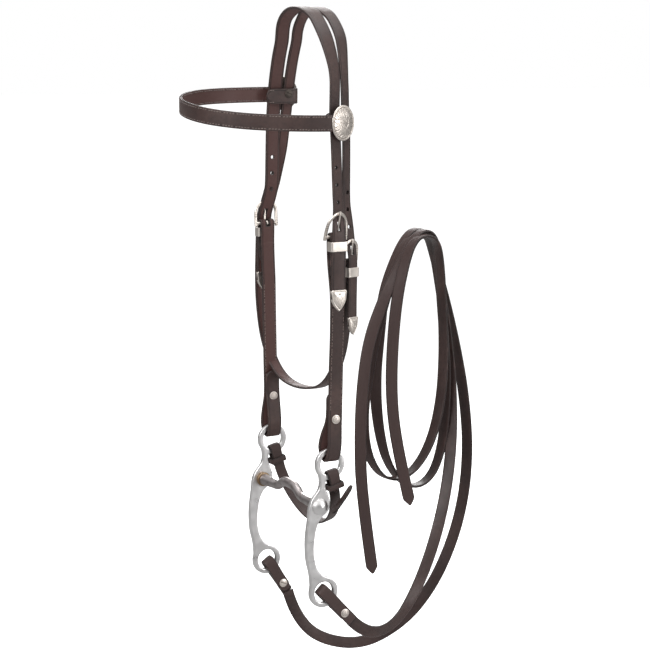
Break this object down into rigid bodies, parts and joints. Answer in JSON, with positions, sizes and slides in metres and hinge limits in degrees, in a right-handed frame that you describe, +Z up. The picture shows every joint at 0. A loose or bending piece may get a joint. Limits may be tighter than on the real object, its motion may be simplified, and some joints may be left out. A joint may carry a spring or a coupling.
{
  "type": "curb bit bridle",
  "caption": "Western browband headstall in dark leather with silver conchos and buckles, a loose-mouth curb bit, a curb strap and split reins hung up in loops.",
  "frame": {"origin": "underside of the crown at the poll, where the bridle hangs from its hook", "axes": "+Z up, +X to the rear of the horse's head, +Y to the horse's off (right) side"},
  "size_m": [0.3477, 0.1868, 0.7005],
  "materials": {
    "headstall_leather": "dark brown bridle leather, fine grain, soft sheen",
    "rein_leather": "very dark brown oiled leather",
    "nickel_silver": "bright engraved nickel silver",
    "screw_steel": "dull nickel",
    "bit_steel": "satin stainless steel with rounded edges",
    "mouthpiece_iron": "dark sweet iron, slightly browned"
  },
  "bodies": {
    "headstall": {"crown": "headstall_leather", "browband": "headstall_leather", "throatlatch": "headstall_leather", "cheekpiece_near": "headstall_leather", "cheekpiece_far": "headstall_leather", "concho_near": "nickel_silver", "concho_far": "nickel_silver", "concho_screw_near": "screw_steel", "concho_screw_far": "screw_steel", "cheek_buckle_near": "nickel_silver", "cheek_buckle_far": "nickel_silver", "throat_buckle_near": "nickel_silver", "cheek_keeper_near": "nickel_silver", "cheek_keeper_far": "nickel_silver", "throat_keeper_near": "nickel_silver", "cheek_tip_near": "nickel_silver", "cheek_tip_far": "nickel_silver", "throat_tip_near": "nickel_silver", "cheek_screw_near": "screw_steel", "cheek_screw_far": "screw_steel", "throat_screw_far": "screw_steel"},
    "bit_cheeks": {"bit_cheek_near": "bit_steel", "bit_cheek_far": "bit_steel"},
    "mouthpiece": {"mouthpiece": "mouthpiece_iron"},
    "curb": {"curb_strap": "headstall_leather", "curb_keeper_near": "headstall_leather", "curb_keeper_far": "headstall_leather"},
    "reins": {"rein_near": "rein_leather", "rein_far": "rein_leather", "rein_loop_near": "rein_leather", "rein_loop_far": "rein_leather", "rein_screw_near": "screw_steel", "rein_screw_far": "screw_steel"},
    "tongue_cheek_near": {"cheek_tongue_near": "nickel_silver"},
    "tongue_cheek_far": {"cheek_tongue_far": "nickel_silver"},
    "tongue_throat_near": {"throat_tongue_near": "nickel_silver"}
  },
  "joints": [
    {"name": "bit_swing", "type": "hinge", "parent": "headstall", "child": "bit_cheeks", "pos_m": [-0.002, 0, -0.455], "axis": [0, -1, 0], "range_deg": [-8, 25]},
    {"name": "mouthpiece_turn", "type": "hinge", "parent": "bit_cheeks", "child": "mouthpiece", "pos_m": [-0.014, 0, -0.498], "axis": [0, 1, 0], "range_deg": [-20, 20]},
    {"name": "curb_swing", "type": "hinge", "parent": "bit_cheeks", "child": "curb", "pos_m": [-0.002, 0, -0.455], "axis": [0, 1, 0], "range_deg": [-10, 3]},
    {"name": "rein_swing", "type": "hinge", "parent": "bit_cheeks", "child": "reins", "pos_m": [-0.0095, 0, -0.5885], "axis": [0, -1, 0], "range_deg": [-25, 8]},
    {"name": "cheek_tongue_near_turn", "type": "hinge", "parent": "headstall", "child": "tongue_cheek_near", "pos_m": [-0.002, -0.077, -0.2225], "axis": [1, 0, 0], "range_deg": [0, 18]},
    {"name": "cheek_tongue_far_turn", "type": "hinge", "parent": "headstall", "child": "tongue_cheek_far", "pos_m": [-0.002, 0.077, -0.2225], "axis": [-1, 0, 0], "range_deg": [0, 18]},
    {"name": "throat_tongue_near_turn", "type": "hinge", "parent": "headstall", "child": "tongue_throat_near", "pos_m": [0.0182, -0.073, -0.25], "axis": [1, 0, 0], "range_deg": [0, 18]}
  ],
  "couplings": [
    {"joint": "rein_swing", "follows": "bit_swing", "ratio": -1}
  ]
}
